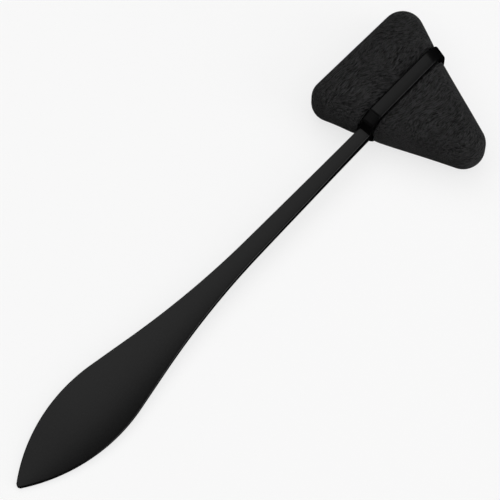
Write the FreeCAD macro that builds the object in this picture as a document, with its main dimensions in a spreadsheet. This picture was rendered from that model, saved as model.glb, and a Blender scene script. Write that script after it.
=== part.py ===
"""Reflex hammer with a triangular rubber head, lying on a flat surface.

Pieces: the rubber head, the metal band that is bent round its middle, and the flat handle with a
pointed, leaf-shaped grip. They are drawn with the handle along X (grip at -X), the head's broad
end at +Y and its nose at -Y, and X = 0, Z = 0 on the head's centre line. At the end all three get
the same placement, which lets the hammer rest on the band's back and on the tip of the grip.
"""
import FreeCAD, Part
import math
import os

import Sketcher
from FreeCAD import Placement, Rotation, Vector

DIMS = {
    # handle
    "handle_reach": 177.0,         # tip of the grip to the head's centre line
    "leaf_radius": 56.2,           # arc of the leaf's edge
    "leaf_half_width": 11.45,
    "flank_angle": 10.56,          # straight flank between the leaf and the neck, in degrees
    "blend_radius": 292.6,         # arc between the flank and the neck
    "neck_angle": 1.05,            # taper of each side of the neck, in degrees
    "root_half_width": 2.1,        # half of the neck's width where it meets the band
    "root_height": 4.4,            # thickness of the neck where it meets the band
    "neck_height": 2.8,            # thickness along the middle of the neck and the leaf
    "tip_height": 1.6,
    "root_length": 40.0,           # stretch over which the neck thickens towards the band
    "tip_length": 30.0,            # stretch over which the leaf thins towards its tip
    "crown_radius": 100.0,         # curvature of the faces across the handle
    # rubber head
    "broad_reach": 22.0,           # handle axis to the broad end
    "nose_reach": 32.7,            # handle axis to the nose
    "side_angle": 21.45,           # lean of each side, in degrees
    "broad_radius": 7.0,
    "nose_radius": 7.2,
    "head_height": 15.0,
    "head_edge": 5.8,
    # band
    "band_width": 4.3,
    "band_thickness": 1.5,
    "band_height": 16.6,
    "band_root": 18.3,             # band's outer face at the neck, from the head's centre line
    "band_end": 18.6,              # middle of the band's outer face at the far end
    "band_end_lean": 15.0,         # the far end leans with the side of the head, in degrees
    "band_bend": 6.5,              # outer radius of the bends at the far end
    "knee_inset": 1.3,             # the leg leans in by this from the neck to its first bend
    "knee_height": 13.0,
    "shoulder_inset": 4.8,         # place of the second bend, where the flat begins
    "recess_gap": 0.15,            # between the band's edges and the walls of the rubber's recess
}

doc = FreeCAD.newDocument("reflex_hammer")
sheet = doc.addObject("Spreadsheet::Sheet", "Dims")
for row, (alias, value) in enumerate(DIMS.items(), start=1):
    sheet.set(f"A{row}", alias)
    sheet.set(f"B{row}", str(value))
    sheet.setAlias(f"B{row}", alias)
doc.recompute()


def dim(name):
    return float(sheet.get(name))


def bind(obj, **expressions):
    """Set properties of an object from expressions in the sheet's names."""
    for prop, text in expressions.items():
        obj.setExpression(prop, text)


def origin_plane(body, role):
    return next(plane for plane in body.Origin.OriginFeatures if plane.Role == role)


def body_sketch(body, name, role):
    sketch = body.newObject("Sketcher::SketchObject", name)
    sketch.AttachmentSupport = (origin_plane(body, role), [""])
    sketch.MapMode = "FlatFace"
    return sketch


def hold(sketch, kind, *where, to):
    """Add a dimension and bind it to an expression, which gives its value."""
    value = sketch.evalExpression(to)
    if kind == "Angle":
        value = math.radians(value.Value)
    index = sketch.addConstraint(Sketcher.Constraint(kind, *where, float(value)))
    sketch.setExpression(f"Constraints[{index}]", to)


def pin(sketch, line, end, x, y):
    """Hold one end of a line at a place given by two expressions."""
    hold(sketch, "DistanceX", line, end, to=x)
    hold(sketch, "DistanceY", line, end, to=y)


def polygon(sketch, corners, guess):
    """Closed outline of straight lines; each corner is a pair of expressions."""
    count = len(corners)
    for i in range(count):
        start, end = guess[i], guess[(i + 1) % count]
        sketch.addGeometry(Part.LineSegment(Vector(*start, 0), Vector(*end, 0)), False)
    for i in range(count):
        sketch.addConstraint(Sketcher.Constraint("Coincident", i, 2, (i + 1) % count, 1))
        pin(sketch, i, 1, *corners[i])


def pad(body, name, sketch, length):
    feature = body.newObject("PartDesign::Pad", name)
    feature.Profile = sketch
    feature.Midplane = True
    bind(feature, Length=length)
    return feature


def edges_where(shape, test):
    return [f"Edge{i}" for i, edge in enumerate(shape.Edges, start=1) if test(edge)]


def fillet(body, name, base, names, radius):
    feature = body.newObject("PartDesign::Fillet", name)
    feature.Base = (base, names)
    bind(feature, Radius=radius)
    doc.recompute()
    return feature


def upright(edge):
    """True for a straight edge along Z."""
    box = edge.BoundBox
    return box.XLength < 1e-6 and box.YLength < 1e-6


def level(edge, z):
    """True for an edge that lies in the plane at height z."""
    box = edge.BoundBox
    return abs(box.ZMin - z) < 1e-6 and abs(box.ZMax - z) < 1e-6


def rubber_blank():
    """Triangular block with rounded corners and well rounded edges."""
    body = doc.addObject("PartDesign::Body", "rubber_blank")
    sketch = body_sketch(body, "head_plan", "XY_Plane")
    apex = "(Dims.nose_reach - Dims.nose_radius + Dims.nose_radius / sin(Dims.side_angle * 1 deg))"
    half = f"(Dims.broad_reach + {apex}) * tan(Dims.side_angle * 1 deg)"
    corners = [("0", f"-{apex}"), (half, "Dims.broad_reach"), (f"-{half}", "Dims.broad_reach")]
    broad = dim("broad_reach")
    polygon(sketch, corners, [(0, -2 * broad), (broad, broad), (-broad, broad)])
    doc.recompute()
    block = pad(body, "head_block", sketch, "Dims.head_height")
    doc.recompute()
    at_nose = edges_where(block.Shape, lambda edge: upright(edge) and edge.BoundBox.YMin < 0)
    nose = fillet(body, "nose_round", block, at_nose, "Dims.nose_radius")
    at_broad = edges_where(nose.Shape, lambda edge: upright(edge) and edge.BoundBox.YMin > broad - 0.01)
    ends = fillet(body, "broad_round", nose, at_broad, "Dims.broad_radius")
    rim = dim("head_height") / 2
    at_rims = edges_where(ends.Shape, lambda edge: level(edge, rim) or level(edge, -rim))
    fillet(body, "head_edges", ends, at_rims, "Dims.head_edge")
    return body


def lean_end(body, name):
    """Cut the block's far end on a line that follows the taper of the head."""
    sketch = body_sketch(body, f"{name}_plan", "XY_Plane")
    side, far = "3 * Dims.band_width", "3 * Dims.band_end"
    lean = f"{side} * tan(Dims.band_end_lean * 1 deg)"
    inner = [(f"Dims.band_end + {lean}", side), (f"Dims.band_end - {lean}", f"-{side}")]
    outer = [(far, f"-{side}"), (far, side)]
    polygon(sketch, inner + outer, [(22, 13), (15, -13), (55, -13), (55, 13)])
    doc.recompute()
    waste = body.newObject("PartDesign::Pocket", name)
    waste.Profile = sketch
    waste.Midplane = True
    bind(waste, Length="2 * Dims.band_height")
    doc.recompute()
    return waste


def band_blank(name, width):
    """Solid with the band's outer shape: a flat block with leaning legs on the neck's side."""
    body = doc.addObject("PartDesign::Body", name)
    sketch = body_sketch(body, f"{name}_side", "XZ_Plane")
    right = [("1.5 * Dims.band_end", "Dims.band_height / 2")]
    left = [
        ("-Dims.band_root + Dims.shoulder_inset", "Dims.band_height / 2"),
        ("-Dims.band_root + Dims.knee_inset", "Dims.knee_height / 2"),
        ("-Dims.band_root", "Dims.root_height / 2"),
    ]
    upper = right + left
    lower = [(x, f"-{z}") for x, z in reversed(upper)]
    guess = [(28, 8), (-13, 8), (-17, 6), (-18, 2), (-18, -2), (-17, -6), (-13, -8), (28, -8)]
    polygon(sketch, upper + lower, guess)
    doc.recompute()
    pad(body, f"{name}_block", sketch, width)
    doc.recompute()
    block = lean_end(body, f"{name}_end")
    end = dim("band_end") - 0.01
    at_end = edges_where(block.Shape, lambda edge: edge.CenterOfMass.x > end and edge.BoundBox.ZLength < 1e-6)
    return body, fillet(body, f"{name}_bends", block, at_end, "Dims.band_bend")


def band_ring(name, width):
    """The blank hollowed from both sides, which leaves a closed strip of even thickness."""
    body, solid = band_blank(name, width)
    side = max(face.CenterOfMass.y for face in solid.Shape.Faces) - 0.01
    ring = body.newObject("PartDesign::Thickness", f"{name}_hollow")
    faces = [f"Face{i}" for i, face in enumerate(solid.Shape.Faces, start=1)
             if abs(face.CenterOfMass.y) > side]
    ring.Base = (solid, faces)
    ring.Reversed = True
    ring.Join = 1
    bind(ring, Value="Dims.band_thickness")
    doc.recompute()
    return body


def cut(name, base, tool):
    result = doc.addObject("Part::Cut", name)
    result.Base = base
    result.Tool = tool
    return result


def rubber_head():
    """The rubber block with a recess all round, in which the band lies."""
    wide = "2 * Dims.band_width"
    core = cut("core", band_blank("core_block", wide)[0], band_ring("core_ring", wide))
    slab = doc.addObject("Part::Box", "recess_slab")
    recess_width = "(Dims.band_width + 2 * Dims.recess_gap)"
    bind(slab, Length="4 * Dims.band_end", Width=recess_width, Height="2 * Dims.band_height")
    slab.setExpression("Placement.Base.x", "-2 * Dims.band_end")
    slab.setExpression("Placement.Base.y", f"-{recess_width} / 2")
    slab.setExpression("Placement.Base.z", "-Dims.band_height")
    return cut("rubber_head", rubber_blank(), cut("recess", slab, core))


def edge_points():
    """Joints of one edge of the handle: leaf arc, straight flank, blend arc and straight neck."""
    flank_angle, neck_angle = (math.radians(dim(name)) for name in ("flank_angle", "neck_angle"))
    radius, half_width = dim("leaf_radius"), dim("leaf_half_width")
    flank_out = Vector(math.sin(flank_angle), math.cos(flank_angle), 0)
    flank_along = Vector(flank_out.y, -flank_out.x, 0)
    neck_along = Vector(math.cos(neck_angle), -math.sin(neck_angle), 0)
    half_chord = math.sqrt(radius ** 2 - (radius - half_width) ** 2)
    centre = Vector(half_chord - dim("handle_reach"), half_width - radius, 0)
    leaf_end = centre + flank_out * radius
    root = Vector(-dim("band_root"), dim("root_half_width"), 0)
    gap = root - leaf_end
    turn = flank_angle - neck_angle
    to_corner = gap.cross(neck_along).z / flank_along.cross(neck_along).z
    corner = leaf_end + flank_along * to_corner
    reach = dim("blend_radius") * math.tan(turn / 2)
    flank_end = corner - flank_along * reach
    neck_start = corner + neck_along * reach
    middle_angle = (flank_angle + neck_angle) / 2
    middle_out = Vector(math.sin(middle_angle), math.cos(middle_angle), 0)
    middle = flank_end + (flank_out - middle_out) * dim("blend_radius")
    return centre, leaf_end, flank_end, middle, neck_start, root


def handle_plan():
    """Outline of the handle: leaf arc, straight flank, long blend and slightly tapering neck."""
    body = doc.addObject("PartDesign::Body", "handle_plan")
    sketch = body_sketch(body, "handle_half", "XY_Plane")
    centre, leaf_end, flank_end, middle, neck_start, root = edge_points()
    tip = Vector(-dim("handle_reach"), 0, 0)
    foot = Vector(root.x, 0, 0)
    from_angle, to_angle = (math.atan2(p.y - centre.y, p.x - centre.x) for p in (leaf_end, tip))
    leaf, flank, blend, neck, end, axis = (
        sketch.addGeometry(shape, False)
        for shape in (
            Part.ArcOfCircle(Part.Circle(centre, Vector(0, 0, 1), dim("leaf_radius")), from_angle, to_angle),
            Part.LineSegment(leaf_end, flank_end),
            Part.Arc(flank_end, middle, neck_start),
            Part.LineSegment(neck_start, root),
            Part.LineSegment(root, foot),
            Part.LineSegment(foot, tip),
        )
    )
    for joint in ((leaf, 1, flank, 1), (flank, 2, blend, 1), (blend, 2, neck, 1)):
        sketch.addConstraint(Sketcher.Constraint("Tangent", *joint))
    for joint in ((neck, 2, end, 1), (end, 2, axis, 1), (axis, 2, leaf, 2)):
        sketch.addConstraint(Sketcher.Constraint("Coincident", *joint))
    hold(sketch, "Radius", leaf, to="Dims.leaf_radius")
    hold(sketch, "Radius", blend, to="Dims.blend_radius")
    hold(sketch, "DistanceY", leaf, 3, to="Dims.leaf_half_width - Dims.leaf_radius")
    pin(sketch, axis, 2, "-Dims.handle_reach", "0")
    pin(sketch, end, 1, "-Dims.band_root", "Dims.root_half_width")
    pin(sketch, axis, 1, "-Dims.band_root", "0")
    hold(sketch, "Angle", flank, to="-Dims.flank_angle * 1 deg")
    hold(sketch, "Angle", neck, to="-Dims.neck_angle * 1 deg")
    doc.recompute()
    half = pad(body, "handle_slab", sketch, "2 * Dims.root_height")
    doc.recompute()
    mirror = body.newObject("PartDesign::Mirrored", "handle_whole")
    mirror.Originals = [half]
    mirror.MirrorPlane = (origin_plane(body, "XZ_Plane"), [""])
    body.Tip = mirror
    doc.recompute()
    return body


def face_section(name, height, along):
    """Cross-section of the handle before its outline is cut: a slab with crowned faces."""
    sketch = doc.addObject("Sketcher::SketchObject", name)
    facing_along = Rotation(Vector(0, 1, 0), Vector(0, 0, 1), Vector(1, 0, 0), "ZXY")
    sketch.Placement = Placement(Vector(0, 0, 0), facing_along)
    sketch.setExpression("Placement.Base.x", along)
    half_width = 1.02 * dim("leaf_half_width")
    top = dim(height) / 2
    rim = top - dim("crown_radius") + math.sqrt(dim("crown_radius") ** 2 - half_width ** 2)
    corners = [Vector(x, y, 0) for x, y in
               ((-half_width, rim), (half_width, rim), (half_width, -rim), (-half_width, -rim))]
    upper = sketch.addGeometry(Part.Arc(corners[0], Vector(0, top, 0), corners[1]), False)
    right = sketch.addGeometry(Part.LineSegment(corners[1], corners[2]), False)
    lower = sketch.addGeometry(Part.Arc(corners[2], Vector(0, -top, 0), corners[3]), False)
    left = sketch.addGeometry(Part.LineSegment(corners[3], corners[0]), False)
    for arc in (upper, lower):
        hold(sketch, "Radius", arc, to="Dims.crown_radius")
    hold(sketch, "DistanceX", upper, 3, to="0")
    hold(sketch, "DistanceX", lower, 3, to="0")
    hold(sketch, "DistanceY", upper, 3, to=f"Dims.{height} / 2 - Dims.crown_radius")
    hold(sketch, "DistanceY", lower, 3, to=f"Dims.crown_radius - Dims.{height} / 2")
    return sketch


def handle():
    """The outlined slab cut to crowned faces, thin at the tip and thick at the root."""
    plan = handle_plan()
    faces = doc.addObject("Part::Loft", "handle_faces")
    faces.Sections = [
        face_section("face_tip", "tip_height", "-Dims.handle_reach"),
        face_section("face_leaf", "neck_height", "Dims.tip_length - Dims.handle_reach"),
        face_section("face_neck", "neck_height", "-Dims.band_root - Dims.root_length"),
        face_section("face_root", "root_height", "-Dims.band_root"),
    ]
    faces.Solid = True
    faces.Ruled = True
    solid = doc.addObject("Part::Common", "handle")
    solid.Base = plan
    solid.Tool = faces
    doc.recompute()
    return solid


def rest_placement(pieces):
    """Turn about Y until band and tip touch one level, and put the box's bottom centre at the origin."""
    fall = (dim("band_height") - dim("tip_height")) / 2
    run = dim("handle_reach") - dim("band_root") + dim("shoulder_inset")
    turn = Rotation(Vector(0, 1, 0), -math.degrees(math.atan2(fall, run)))
    whole = Part.Compound([piece.Shape for piece in pieces])
    whole.Placement = Placement(Vector(0, 0, 0), turn)
    box = whole.optimalBoundingBox(False)
    return Placement(Vector(-box.Center.x, -box.Center.y, -box.ZMin), turn)


def check(pieces):
    """Stop if any feature failed or a piece is not one valid solid."""
    failed = [obj.Name for obj in doc.Objects if {"Invalid", "Error"} & set(obj.State)]
    if failed:
        raise RuntimeError(f"failed: {failed}")
    for piece in pieces:
        shape = piece.Shape
        if shape.isNull() or not shape.isValid() or len(shape.Solids) != 1:
            raise RuntimeError(f"bad shape: {piece.Label}")


pieces = [rubber_head(), band_ring("head_band", "Dims.band_width"), handle()]
doc.recompute()
check(pieces)
rest = rest_placement(pieces)
for piece in pieces:
    piece.Placement = rest
doc.recompute()
check(pieces)
os.makedirs("parts", exist_ok=True)
for piece in pieces:
    piece.Shape.exportStep(f"parts/{piece.Label}.step")
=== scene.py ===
"""Looks of the reflex hammer: meshes, materials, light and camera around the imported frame.

Shapes are drawn in millimetres in the hammer's own axes: X along the handle towards the head, Y
towards the head's broad end, and Z = 0 half-way through its thickness. The hammer's axes are
turned a little about Y in the frame, because the hammer lies on the band's back and on its tip.
"""
import math

import bmesh
import bpy
import numpy as np
from mathutils import Matrix, Vector


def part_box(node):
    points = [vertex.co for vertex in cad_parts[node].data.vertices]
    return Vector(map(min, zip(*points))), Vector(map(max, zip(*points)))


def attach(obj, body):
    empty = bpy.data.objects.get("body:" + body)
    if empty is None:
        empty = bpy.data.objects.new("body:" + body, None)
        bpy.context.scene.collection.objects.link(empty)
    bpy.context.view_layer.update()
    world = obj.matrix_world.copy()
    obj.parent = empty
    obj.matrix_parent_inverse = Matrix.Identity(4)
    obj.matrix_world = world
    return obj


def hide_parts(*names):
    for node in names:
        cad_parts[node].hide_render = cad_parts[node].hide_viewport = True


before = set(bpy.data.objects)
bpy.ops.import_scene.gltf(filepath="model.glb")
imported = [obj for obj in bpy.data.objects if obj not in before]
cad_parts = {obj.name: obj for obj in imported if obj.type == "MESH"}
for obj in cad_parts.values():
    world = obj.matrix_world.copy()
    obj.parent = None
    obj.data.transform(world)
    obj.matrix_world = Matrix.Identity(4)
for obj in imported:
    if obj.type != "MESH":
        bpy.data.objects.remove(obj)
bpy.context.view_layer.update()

MM = 0.001
REST_TILT = math.radians(2.626)
SHARP_ANGLE = math.radians(40)     # edges that turn more than this are not shaded smooth


def hammer_axes():
    """Matrix from the hammer's own axes, in millimetres, to the frame."""
    head_low, head_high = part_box("rubber_head")
    handle_low, handle_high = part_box("handle")
    centre = (head_low + head_high) / 2
    centre.y = (handle_low.y + handle_high.y) / 2
    return Matrix.Translation(centre) @ Matrix.Rotation(-REST_TILT, 4, "Y") @ Matrix.Scale(MM, 4)


TO_FRAME = hammer_axes()


# ---------------------------------------------------------------- helpers

def smooth_step(value, low, high):
    """0 below low, 1 above high and a smooth rise between them."""
    part = np.clip((np.asarray(value, float) - low) / (high - low), 0, 1)
    return part * part * (3 - 2 * part)


def ring_faces(rings, count):
    """Quads between successive closed rings of the same number of points."""
    faces = []
    for i in range(rings - 1):
        for j in range(count):
            k = (j + 1) % count
            faces.append((i * count + j, i * count + k, (i + 1) * count + k, (i + 1) * count + j))
    return faces


def piece(name, node, points, faces, material):
    """A smooth mesh from points in the hammer's axes, which stands for a CAD node."""
    mesh = bpy.data.meshes.new(name)
    placed = [TO_FRAME @ Vector(point) for point in points]
    mesh.from_pydata(placed, [], faces)
    shell = bmesh.new()
    shell.from_mesh(mesh)
    bmesh.ops.recalc_face_normals(shell, faces=shell.faces)
    shell.to_mesh(mesh)
    shell.free()
    mesh.validate()
    mesh.update()
    mesh.materials.append(material)
    mesh.shade_smooth()
    mesh.set_sharp_from_angle(angle=SHARP_ANGLE)
    made = bpy.data.objects.new(name, mesh)
    bpy.context.scene.collection.objects.link(made)
    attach(made, "root")
    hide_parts(node)


# ---------------------------------------------------------------- handle

HANDLE_REACH = 177.0
LEAF_RADIUS = 56.2
LEAF_HALF_WIDTH = 11.45
FLANK_ANGLE = math.radians(10.56)
BLEND_RADIUS = 293.0
NECK_ANGLE = math.radians(1.05)
BAND_ROOT = 18.3
ROOT_HALF_WIDTH = 2.1
TIP_RADIUS = 1.3
TIP_HALF_THICKNESS = 0.8           # along the handle's middle, as are the two rises below
LEAF_RISE, LEAF_RISE_LENGTH = 0.55, 34
ROOT_RISE, ROOT_RISE_LENGTH = 0.85, 20
LEAF_CROWN = 0.75                  # height of the crowned face over its rims at the widest place
SIDE_CORNER = 0.34                 # radius between the faces and the flat sides


def half_width(along):
    """Half of the handle's width at a distance from its pointed end, before the tip is rounded."""
    centre = math.sqrt(LEAF_RADIUS ** 2 - (LEAF_RADIUS - LEAF_HALF_WIDTH) ** 2)
    leaf = LEAF_HALF_WIDTH - LEAF_RADIUS + np.sqrt(np.maximum(LEAF_RADIUS ** 2 - (along - centre) ** 2, 0))
    leaf_end = centre + LEAF_RADIUS * math.sin(FLANK_ANGLE)
    end_width = LEAF_HALF_WIDTH - LEAF_RADIUS * (1 - math.cos(FLANK_ANGLE))
    flank = end_width - math.tan(FLANK_ANGLE) * (along - leaf_end)
    root = HANDLE_REACH - BAND_ROOT
    neck = ROOT_HALF_WIDTH + math.tan(NECK_ANGLE) * (root - along)
    slopes = math.tan(FLANK_ANGLE) - math.tan(NECK_ANGLE)
    corner = (end_width + math.tan(FLANK_ANGLE) * leaf_end
              - ROOT_HALF_WIDTH - math.tan(NECK_ANGLE) * root) / slopes
    reach = BLEND_RADIUS * math.tan((FLANK_ANGLE - NECK_ANGLE) / 2)
    start, stop = corner - reach * math.cos(FLANK_ANGLE), corner + reach * math.cos(NECK_ANGLE)
    foot = end_width - math.tan(FLANK_ANGLE) * (start - leaf_end)
    middle = start + BLEND_RADIUS * math.sin(FLANK_ANGLE)
    top = foot + BLEND_RADIUS * math.cos(FLANK_ANGLE)
    blend = top - np.sqrt(np.maximum(BLEND_RADIUS ** 2 - (along - middle) ** 2, 0))
    after_flank = np.where(along < stop, blend, neck)
    return np.where(along < leaf_end, leaf, np.where(along < start, flank, after_flank))


def tip_shape():
    """Start of the rounded tip and the place where its circle meets the leaf's edge."""
    slope = math.asin(math.sqrt(LEAF_RADIUS ** 2 - (LEAF_RADIUS - LEAF_HALF_WIDTH) ** 2) / LEAF_RADIUS)
    centre = TIP_RADIUS / math.sin(slope)
    return centre - TIP_RADIUS, centre, slope


def handle_stations():
    """Distances from the pointed end, with half widths: round tip, then the long edge."""
    start, centre, slope = tip_shape()
    turns = np.linspace(math.radians(4), math.pi / 2 - slope, 14)
    tip = centre - TIP_RADIUS * np.cos(turns)
    tip_widths = TIP_RADIUS * np.sin(turns)
    rest = np.concatenate([np.arange(1.5, 12, 0.5), np.arange(12, 60, 1.0), np.arange(60, 158, 2.0),
                           [HANDLE_REACH - BAND_ROOT]])
    return np.concatenate([tip, rest]), np.concatenate([tip_widths, half_width(rest)])


def handle_section(along, width):
    """Closed ring across the handle: crowned faces, flat sides and small rounded corners."""
    root = HANDLE_REACH - BAND_ROOT
    middle = (TIP_HALF_THICKNESS + LEAF_RISE * smooth_step(along, 0, LEAF_RISE_LENGTH)
              + ROOT_RISE * math.exp((along - root) / ROOT_RISE_LENGTH))
    crown = LEAF_CROWN * min(width / LEAF_HALF_WIDTH, 1) ** 1.5
    rim = middle - crown
    corner = min(SIDE_CORNER, 0.8 * width, 0.8 * rim)
    face = np.linspace(-1, 1, 33) * (width - corner)
    height = rim + crown * (1 - (face / width) ** 2)
    slope = math.atan(2 * crown / width) if width > 1 else 0
    turn = np.linspace(math.pi / 2 - slope, 0, 7)[1:]
    edge_top = height[-1] - corner * math.sin(math.pi / 2 - slope)
    shift = width - corner
    upper = list(zip(face, height))
    right = [(shift + corner * math.cos(a), edge_top + corner * math.sin(a)) for a in turn]
    right += [(y, -z) for y, z in reversed(right)]
    return upper + right + [(-y, -z) for y, z in upper + right]


def handle_mesh(material):
    """The flat bar from its pointed grip to the band, closed at both ends."""
    points, count, rings = [], 0, 0
    for along, width in zip(*handle_stations()):
        section = handle_section(along, width)
        count = len(section)
        rings += 1
        points += [(along - HANDLE_REACH, y, z) for y, z in section]
    faces = ring_faces(rings, count)
    faces += [tuple(range(count)), tuple(reversed(range((rings - 1) * count, rings * count)))]
    piece("handle_forged", "handle", points, faces, material)


# ---------------------------------------------------------------- band

BAND_WIDTH = 4.3
BAND_THICKNESS = 1.5
BAND_END = 18.6
BAND_HALF_HEIGHT = 8.3
BAND_FRONT = (                 # x, z and outer bend radius, from the far end to the neck
    (BAND_END, BAND_HALF_HEIGHT, 6.5),
    (-13.5, BAND_HALF_HEIGHT, 2.2),
    (-17.0, 6.5, 0.8),
    (-BAND_ROOT, 2.2, 0.6),
)
BAND_BACK = (                  # the same round the back, where the bends lie a little closer to the rubber
    (-BAND_ROOT, -2.2, 0.6),
    (-16.3, -6.0, 0.8),
    (-13.5, -BAND_HALF_HEIGHT, 2.2),
    (BAND_END, -BAND_HALF_HEIGHT, 6.5),
)
END_SLOPE = math.tan(math.radians(15))     # the far end leans with the side of the head
LEAN_FROM, LEAN_TO = 7, 17                 # the lean sets in between these two places
STRIP_EDGE = 0.32                          # radius of the strip's rounded edges
CREASE_DEPTH = 0.22
CREASE_REACH = 0.22


def inset_corners(corners, depth):
    """Corners of the outline moved inwards by a depth, with smaller bends."""
    moved = []
    count = len(corners)
    for i, (x, z, radius) in enumerate(corners):
        here = Vector((x, z))
        into = (here - Vector(corners[i - 1][:2])).normalized()
        out = (Vector(corners[(i + 1) % count][:2]) - here).normalized()
        normals = [Vector((-d.y, d.x)) for d in (into, out)]
        middle = (normals[0] + normals[1]).normalized()
        place = here + middle * depth / middle.dot(normals[0])
        moved.append((place.x, place.y, max(radius - depth, 0.15)))
    return moved


def round_path(corners, bend_steps=10, run_steps=12):
    """Points along a closed outline with rounded corners."""
    path = []
    count = len(corners)
    for i, (x, z, radius) in enumerate(corners):
        here = Vector((x, z))
        into = (here - Vector(corners[i - 1][:2])).normalized()
        out = (Vector(corners[(i + 1) % count][:2]) - here).normalized()
        turn = into.angle(out)
        reach = radius * math.tan(turn / 2)
        start, stop = here - into * reach, here + out * reach
        centre = start + Vector((-into.y, into.x)) * radius
        arm = start - centre
        for k in range(bend_steps + 1):
            angle = turn * k / bend_steps
            path.append(centre + Vector((arm.x * math.cos(angle) - arm.y * math.sin(angle),
                                         arm.x * math.sin(angle) + arm.y * math.cos(angle))))
        following = corners[(i + 1) % count]
        nxt = Vector(following[:2])
        after = (Vector(corners[(i + 2) % count][:2]) - nxt).normalized()
        next_start = nxt - out * following[2] * math.tan(out.angle(after) / 2)
        path += [stop.lerp(next_start, k / run_steps) for k in range(1, run_steps)]
    return path


def strip_section():
    """Ring across the strip as (place across, depth), with small rounded edges."""
    edge, half, depth = STRIP_EDGE, BAND_WIDTH / 2, BAND_THICKNESS
    ring = []
    for centre_y, centre_d, first in ((half - edge, edge, 0), (half - edge, depth - edge, 1),
                                      (edge - half, depth - edge, 2), (edge - half, edge, 3)):
        for k in range(5):
            angle = math.pi / 2 * (first + k / 4)
            ring.append((centre_y + edge * math.sin(angle), centre_d - edge * math.cos(angle)))
    return ring


def band_mesh(material):
    """The closed strip, with shallow creases outside its bends next to the neck."""
    corners = BAND_FRONT + BAND_BACK
    outer = round_path(corners)
    inner = round_path(inset_corners(corners, BAND_THICKNESS))
    section = strip_section()
    creases = [Vector(corner[:2]) for corner in BAND_FRONT[1:3] + BAND_BACK[1:3]]
    points = []
    for near, far in zip(outer, inner):
        dent = sum(CREASE_DEPTH * math.exp(-((near - bend).length / CREASE_REACH) ** 2) for bend in creases)
        for across, depth in section:
            place = near.lerp(far, (depth + dent * (depth < BAND_THICKNESS / 2)) / BAND_THICKNESS)
            lean = END_SLOPE * float(smooth_step(place.x, LEAN_FROM, LEAN_TO)) * across
            points.append((place.x + lean, across, place.y))
    count = len(section)
    faces = ring_faces(len(outer), count)
    last = (len(outer) - 1) * count
    faces += [(last + j, last + (j + 1) % count, (j + 1) % count, j) for j in range(count)]
    piece("head_band_strip", "head_band", points, faces, material)


# ---------------------------------------------------------------- rubber head

BROAD_REACH = 21.55            # distances of the three straight sides from the middle of the head
FAR_REACH = 16.56
NEAR_REACH = 16.05
BROAD_SKEW = math.radians(-1.48)
FAR_ANGLE = math.radians(22.06)
NEAR_ANGLE = math.radians(20.66)
CORNER_RADII = (7.0, 6.2, 6.95)    # far and near broad corners, nose
HEAD_HALF_HEIGHT = 7.5
HEAD_EDGE = 5.8
RECESS_HALF_WIDTH = 2.65
RECESS_DEPTH = 0.9
NECK_SIDE_DEPTH = 0.5              # further depth of the recess next to the neck
RIM_ROLL, ROLL_REACH = 0.14, 0.8   # dip of the rubber along both rims of the recess


def head_corners():
    """Centre, radius and directions of the sides that meet, for each rounded corner of the plan."""
    normals = [(math.cos(FAR_ANGLE), -math.sin(FAR_ANGLE)), (-math.sin(BROAD_SKEW), math.cos(BROAD_SKEW)),
               (-math.cos(NEAR_ANGLE), -math.sin(NEAR_ANGLE))]
    reaches = [FAR_REACH, BROAD_REACH, NEAR_REACH]
    corners = []
    for i, radius in enumerate(CORNER_RADII):
        pair = np.array([normals[i], normals[(i + 1) % 3]])
        centre = np.linalg.solve(pair, np.array([reaches[i], reaches[(i + 1) % 3]]) - radius)
        corners.append((centre, radius, pair))
    return corners, np.array(normals), np.array(reaches)


CORNERS, SIDE_NORMALS, SIDE_REACHES = head_corners()
NOSE_REACH = CORNERS[2][1] - CORNERS[2][0][1]


def plan_distance(x, y):
    """Signed distance from the head's outline, a triangle with rounded corners; inside is negative."""
    distance = np.max([x * n[0] + y * n[1] - reach for n, reach in zip(SIDE_NORMALS, SIDE_REACHES)], axis=0)
    for centre, radius, (before, after) in CORNERS:
        across, up = x - centre[0], y - centre[1]
        past = (up * before[0] - across * before[1] > 0) & (up * after[0] - across * after[1] < 0)
        distance = np.where(past, np.hypot(across, up) - radius, distance)
    return distance


def head_distance(x, y, z):
    """Signed distance from the head: the outline given thickness, with its rims rounded."""
    side = plan_distance(x, y) + HEAD_EDGE
    face = np.abs(z) - (HEAD_HALF_HEIGHT - HEAD_EDGE)
    outside = np.hypot(np.maximum(side, 0), np.maximum(face, 0))
    return np.minimum(np.maximum(side, face), 0) + outside - HEAD_EDGE


def head_stations():
    """Places across the head, close together at both ends and at the walls of the recess."""
    wall = RECESS_HALF_WIDTH
    round_end = HEAD_EDGE * (1 - np.cos(np.linspace(0.03, math.pi / 2, 20)))
    nose = -NOSE_REACH + round_end
    broad = (BROAD_REACH - round_end)[::-1]
    recess = -wall + np.array([-0.6, -0.35, -0.2, -0.12, -0.06, 0, 0.06, 0.12, 0.3])
    return np.concatenate([
        nose, np.arange(nose[-1] + 0.8, -wall - 0.9, 0.8), recess, [-1, 0, 1], -recess[::-1],
        np.arange(wall + 0.9, broad[0] - 0.4, 0.8), broad])


def head_ring(station, turns):
    """Points of the head's surface in one slanting cut across it, found along rays from its middle."""
    slant = math.tan(BROAD_SKEW) * float(smooth_step(station, 4, 19))
    ray_x, ray_z = 20 * np.cos(turns), HEAD_HALF_HEIGHT * np.sin(turns)
    low, high = np.zeros_like(turns), np.full_like(turns, 2.5)
    for _ in range(40):
        middle = (low + high) / 2
        inside = head_distance(ray_x * middle, station + slant * ray_x * middle, ray_z * middle) < 0
        low, high = np.where(inside, middle, low), np.where(inside, high, middle)
    return np.stack([ray_x * low, station + slant * ray_x * low, ray_z * low], axis=-1)


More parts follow.
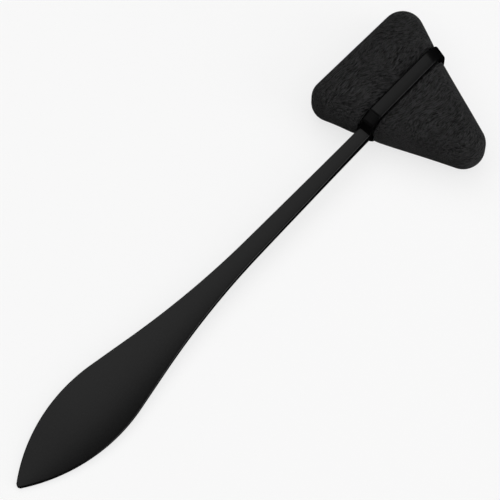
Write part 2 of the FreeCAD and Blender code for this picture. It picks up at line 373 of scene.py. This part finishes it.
def head_normals(x, y, z, step=0.01):
    """Unit normals of the head's surface, from differences of its distance over a small step."""
    grad = np.stack([
        head_distance(x + step, y, z) - head_distance(x - step, y, z),
        head_distance(x, y + step, z) - head_distance(x, y - step, z),
        head_distance(x, y, z + step) - head_distance(x, y, z - step)], axis=-1)
    return grad / np.linalg.norm(grad, axis=-1, keepdims=True)


def recess_depth(x, y):
    """Depth of the groove that the band sits in, with a soft roll of rubber at both of its rims."""
    apart = np.abs(y) - RECESS_HALF_WIDTH
    groove = (RECESS_DEPTH + NECK_SIDE_DEPTH * (x < -10)) * (1 - smooth_step(apart, -0.14, 0.1))
    return groove + RIM_ROLL * np.exp(-(np.maximum(apart, 0) / ROLL_REACH) ** 2)


def bow(x, y):
    """Shift towards the handle of the rubber near the band, which holds it back on its far side."""
    apart = np.maximum(np.abs(y) - RECESS_HALF_WIDTH, 0)
    nose_side = y < 0
    amount = 0.64 + 0.12 * np.where(nose_side, 1, -1) - 0.2 * np.clip(x / 14, -1, 1)
    return amount * np.exp(-(apart / np.where(nose_side, 16, 6)) ** 2)


def cap_rings(ring):
    """Smaller copies of an end ring, drawn in towards its middle."""
    return [ring.mean(axis=0) * (1 - part) + ring * part for part in (0.8, 0.55, 0.3, 0.1)]


def head_mesh(material):
    """The rubber block with its recess, pulled a little towards the handle near the band."""
    turns = np.linspace(0, 2 * math.pi, 180, endpoint=False)
    grid = np.array([head_ring(station, turns) for station in head_stations()])
    x, y, z = (grid[..., k] for k in range(3))
    grid = grid - head_normals(x, y, z) * recess_depth(x, y)[..., None]
    grid[..., 0] -= bow(x, y)
    layers = cap_rings(grid[0])[::-1] + list(grid) + cap_rings(grid[-1])
    points = np.concatenate(layers)
    count = len(turns)
    faces = ring_faces(len(layers), count)
    faces += [tuple(range(count)), tuple(reversed(range(len(points) - count, len(points))))]
    piece("head_moulding", "rubber_head", points, faces, material)


# ---------------------------------------------------------------- materials

METAL_GRAIN = 2600.0               # scales of the noise textures, per metre
STREAK_GRAIN = 2200.0
STREAK_LENGTH = 4.0                # a streak's length over its width
STREAK_TURNS = (math.radians(3), math.radians(-34))


def new_material(name):
    """A node material with its nodes and links."""
    material = bpy.data.materials.new(name)
    material.use_nodes = True
    return material, material.node_tree.nodes, material.node_tree.links


def coated_metal(name, roughness, shine):
    """Black satin coating with a fine even texture."""
    material, nodes, links = new_material(name)
    shader = nodes["Principled BSDF"]
    shader.inputs["Specular IOR Level"].default_value = shine
    place = nodes.new("ShaderNodeTexCoord")
    noise = nodes.new("ShaderNodeTexNoise")
    noise.inputs["Scale"].default_value = METAL_GRAIN
    noise.inputs["Detail"].default_value = 6
    links.new(place.outputs["Object"], noise.inputs["Vector"])
    colour = nodes.new("ShaderNodeValToRGB")
    colour.color_ramp.elements[0].color = (0.0016, 0.0016, 0.0017, 1)
    colour.color_ramp.elements[1].color = (0.0030, 0.0030, 0.0031, 1)
    links.new(noise.outputs["Fac"], colour.inputs["Fac"])
    links.new(colour.outputs["Color"], shader.inputs["Base Color"])
    rough = nodes.new("ShaderNodeMapRange")
    rough.inputs["To Min"].default_value = roughness - 0.04
    rough.inputs["To Max"].default_value = roughness + 0.04
    links.new(noise.outputs["Fac"], rough.inputs["Value"])
    links.new(rough.outputs["Result"], shader.inputs["Roughness"])
    bump = nodes.new("ShaderNodeBump")
    bump.inputs["Strength"].default_value = 0.15
    bump.inputs["Distance"].default_value = 0.00002
    links.new(noise.outputs["Fac"], bump.inputs["Height"])
    links.new(bump.outputs["Normal"], shader.inputs["Normal"])
    return material


def streak_noise(nodes, links, vector, turn):
    """Noise drawn out into streaks along one direction of the plan."""
    stretch = nodes.new("ShaderNodeMapping")
    stretch.vector_type = "TEXTURE"
    stretch.inputs["Rotation"].default_value = (0, 0, turn)
    stretch.inputs["Scale"].default_value = (STREAK_LENGTH, 1.0, 1.0)
    links.new(vector, stretch.inputs["Vector"])
    streaks = nodes.new("ShaderNodeTexNoise")
    streaks.inputs["Scale"].default_value = STREAK_GRAIN
    streaks.inputs["Detail"].default_value = 3
    streaks.inputs["Roughness"].default_value = 0.55
    streaks.inputs["Distortion"].default_value = 0.4
    links.new(stretch.outputs["Vector"], streaks.inputs["Vector"])
    return streaks.outputs["Fac"]


def moulded_rubber():
    """Black rubber with a streaky grain, whose contrast comes mostly from varied shine and colour."""
    material, nodes, links = new_material("head rubber")
    shader = nodes["Principled BSDF"]
    place = nodes.new("ShaderNodeTexCoord")
    swirl = nodes.new("ShaderNodeTexNoise")
    swirl.inputs["Scale"].default_value = 55
    swirl.inputs["Detail"].default_value = 1
    links.new(place.outputs["Object"], swirl.inputs["Vector"])
    bend = nodes.new("ShaderNodeVectorMath")
    bend.operation = "MULTIPLY_ADD"
    bend.inputs[1].default_value = (0.007, 0.007, 0.007)
    links.new(swirl.outputs["Color"], bend.inputs[0])
    links.new(place.outputs["Object"], bend.inputs[2])
    along, across = (streak_noise(nodes, links, bend.outputs["Vector"], turn) for turn in STREAK_TURNS)
    patch = nodes.new("ShaderNodeTexNoise")
    patch.inputs["Scale"].default_value = 70
    patch.inputs["Detail"].default_value = 1
    links.new(place.outputs["Object"], patch.inputs["Vector"])
    share = nodes.new("ShaderNodeMapRange")
    share.inputs["From Min"].default_value = 0.42
    share.inputs["From Max"].default_value = 0.58
    links.new(patch.outputs["Fac"], share.inputs["Value"])
    streaks = nodes.new("ShaderNodeMix")
    links.new(share.outputs["Result"], streaks.inputs["Factor"])
    links.new(along, streaks.inputs["A"])
    links.new(across, streaks.inputs["B"])
    colour = nodes.new("ShaderNodeValToRGB")
    colour.color_ramp.elements[0].position = 0.38
    colour.color_ramp.elements[0].color = (0.0020, 0.0020, 0.0021, 1)
    colour.color_ramp.elements[1].position = 0.62
    colour.color_ramp.elements[1].color = (0.0200, 0.0200, 0.0205, 1)
    links.new(streaks.outputs["Result"], colour.inputs["Fac"])
    links.new(colour.outputs["Color"], shader.inputs["Base Color"])
    rough = nodes.new("ShaderNodeMapRange")
    rough.inputs["From Min"].default_value = 0.35
    rough.inputs["From Max"].default_value = 0.65
    rough.inputs["To Min"].default_value = 0.42
    rough.inputs["To Max"].default_value = 0.62
    links.new(streaks.outputs["Result"], rough.inputs["Value"])
    links.new(rough.outputs["Result"], shader.inputs["Roughness"])
    shine = nodes.new("ShaderNodeMapRange")
    shine.inputs["From Min"].default_value = 0.36
    shine.inputs["From Max"].default_value = 0.64
    shine.inputs["To Min"].default_value = 0.28
    shine.inputs["To Max"].default_value = 1.0
    links.new(streaks.outputs["Result"], shine.inputs["Value"])
    links.new(shine.outputs["Result"], shader.inputs["Specular IOR Level"])
    shader.inputs["Sheen Weight"].default_value = 0.07
    shader.inputs["Sheen Roughness"].default_value = 0.3
    bump = nodes.new("ShaderNodeBump")
    bump.inputs["Strength"].default_value = 1.0
    bump.inputs["Distance"].default_value = 0.0014
    links.new(streaks.outputs["Result"], bump.inputs["Height"])
    links.new(bump.outputs["Normal"], shader.inputs["Normal"])
    return material


# ---------------------------------------------------------------- floor, light and camera

FLOOR_HALF_SIDE = 6.0
PANEL_DISTANCE = 2.5
FILL_DISTANCE = 2.0


def make_floor():
    """Plain pale floor that gives off part of its own light, so that shadows stay faint."""
    mesh = bpy.data.meshes.new("floor")
    side = FLOOR_HALF_SIDE
    corners = [(-side, -side, 0), (side, -side, 0), (side, side, 0), (-side, side, 0)]
    mesh.from_pydata(corners, [], [(0, 1, 2, 3)])
    floor = bpy.data.objects.new("floor", mesh)
    bpy.context.scene.collection.objects.link(floor)
    material, nodes, _ = new_material("pale floor")
    shader = nodes["Principled BSDF"]
    shader.inputs["Base Color"].default_value = (0.26, 0.26, 0.26, 1)
    shader.inputs["Roughness"].default_value = 1.0
    shader.inputs["Specular IOR Level"].default_value = 0.0
    shader.inputs["Emission Color"].default_value = (1, 1, 1, 1)
    shader.inputs["Emission Strength"].default_value = 0.727
    mesh.materials.append(material)
    floor.visible_glossy = False


def panel_light(name, low, high, radiance, distance, glossy):
    """A soft panel that fills a range of directions seen from the hammer.

    low and high are the x and y parts of the directions of two opposite corners of the panel.
    """
    corners = [Vector((x, y, math.sqrt(max(1 - x * x - y * y, 0)))) for x, y in (low, high)]
    towards = (corners[0] + corners[1]).normalized()
    across = (Vector((1, 0, 0)) - towards * towards.x).normalized()
    turn = Matrix((across, towards.cross(across), towards)).transposed()
    spans = [(corner / corner.dot(towards) - towards) * distance for corner in corners]
    light = bpy.data.lights.new(name, "AREA")
    light.shape = "RECTANGLE"
    light.size = abs((spans[1] - spans[0]).dot(turn.col[0]))
    light.size_y = abs((spans[1] - spans[0]).dot(turn.col[1]))
    light.energy = radiance * math.pi * light.size * light.size_y
    lamp = bpy.data.objects.new(name, light)
    bpy.context.scene.collection.objects.link(lamp)
    lamp.location = towards * distance
    lamp.rotation_mode = "QUATERNION"
    lamp.rotation_quaternion = turn.to_quaternion()
    lamp.visible_camera = False
    lamp.visible_glossy = glossy


def make_world(seen, above):
    """Pale to the camera; dim light from above the horizon for everything else."""
    world = bpy.data.worlds.new("studio")
    bpy.context.scene.world = world
    world.use_nodes = True
    nodes, links = world.node_tree.nodes, world.node_tree.links
    background = nodes["Background"]
    place = nodes.new("ShaderNodeTexCoord")
    split = nodes.new("ShaderNodeSeparateXYZ")
    links.new(place.outputs["Generated"], split.inputs[0])
    height = nodes.new("ShaderNodeMapRange")
    height.inputs["From Min"].default_value = 0.0
    height.inputs["From Max"].default_value = 0.35
    height.inputs["To Min"].default_value = 0.0
    height.inputs["To Max"].default_value = above
    links.new(split.outputs["Z"], height.inputs["Value"])
    rays = nodes.new("ShaderNodeLightPath")
    mix = nodes.new("ShaderNodeMix")
    links.new(rays.outputs["Is Camera Ray"], mix.inputs["Factor"])
    links.new(height.outputs["Result"], mix.inputs["A"])
    mix.inputs["B"].default_value = seen
    background.inputs["Color"].default_value = (1, 1, 1, 1)
    links.new(mix.outputs["Result"], background.inputs["Strength"])


def make_camera():
    """A long lens that looks down on the hammer from the grip's side and the nose's side."""
    data = bpy.data.cameras.new("camera")
    data.sensor_width = 36.0
    data.lens = 230.4
    data.clip_end = 50
    camera = bpy.data.objects.new("camera", data)
    bpy.context.scene.collection.objects.link(camera)
    aim = Vector((0.00397, 0.00455, 0.009))
    azimuth, elevation, roll = (math.radians(angle) for angle in (51.658, 65.842, 4.323))
    distance = 0.99238
    back = Vector((-math.sin(azimuth) * math.cos(elevation), -math.cos(azimuth) * math.cos(elevation),
                   math.sin(elevation)))
    camera.location = aim + back * distance
    camera.rotation_mode = "QUATERNION"
    upright = (-back).to_track_quat("-Z", "Y").to_matrix()
    camera.rotation_quaternion = (Matrix.Rotation(roll, 3, back) @ upright).to_quaternion()
    bpy.context.scene.camera = camera


make_floor()
make_world(seen=0.93, above=0.02)
panel_light("key", (-0.05, 0.125), (0.46, 0.74), 0.61, PANEL_DISTANCE, True)
panel_light("side", (0.02, -0.995), (0.55, -0.62), 2.6, PANEL_DISTANCE, True)
panel_light("grip end", (-0.72, 0.10), (-0.42, 0.45), 0.20, PANEL_DISTANCE, True)
# The low panel lets the handle's top show its form from the other side.
panel_light("low back", (-0.70, 0.70), (-0.50, 0.50), 0.40, PANEL_DISTANCE, True)
panel_light("fill", (-0.6, -0.6), (0.6, 0.6), 1.0, FILL_DISTANCE, False)
handle_mesh(coated_metal("handle coating", roughness=0.29, shine=0.49))
band_mesh(coated_metal("band coating", roughness=0.25, shine=0.34))
head_mesh(moulded_rubber())
make_camera()
bpy.context.scene.view_settings.view_transform = "Standard"
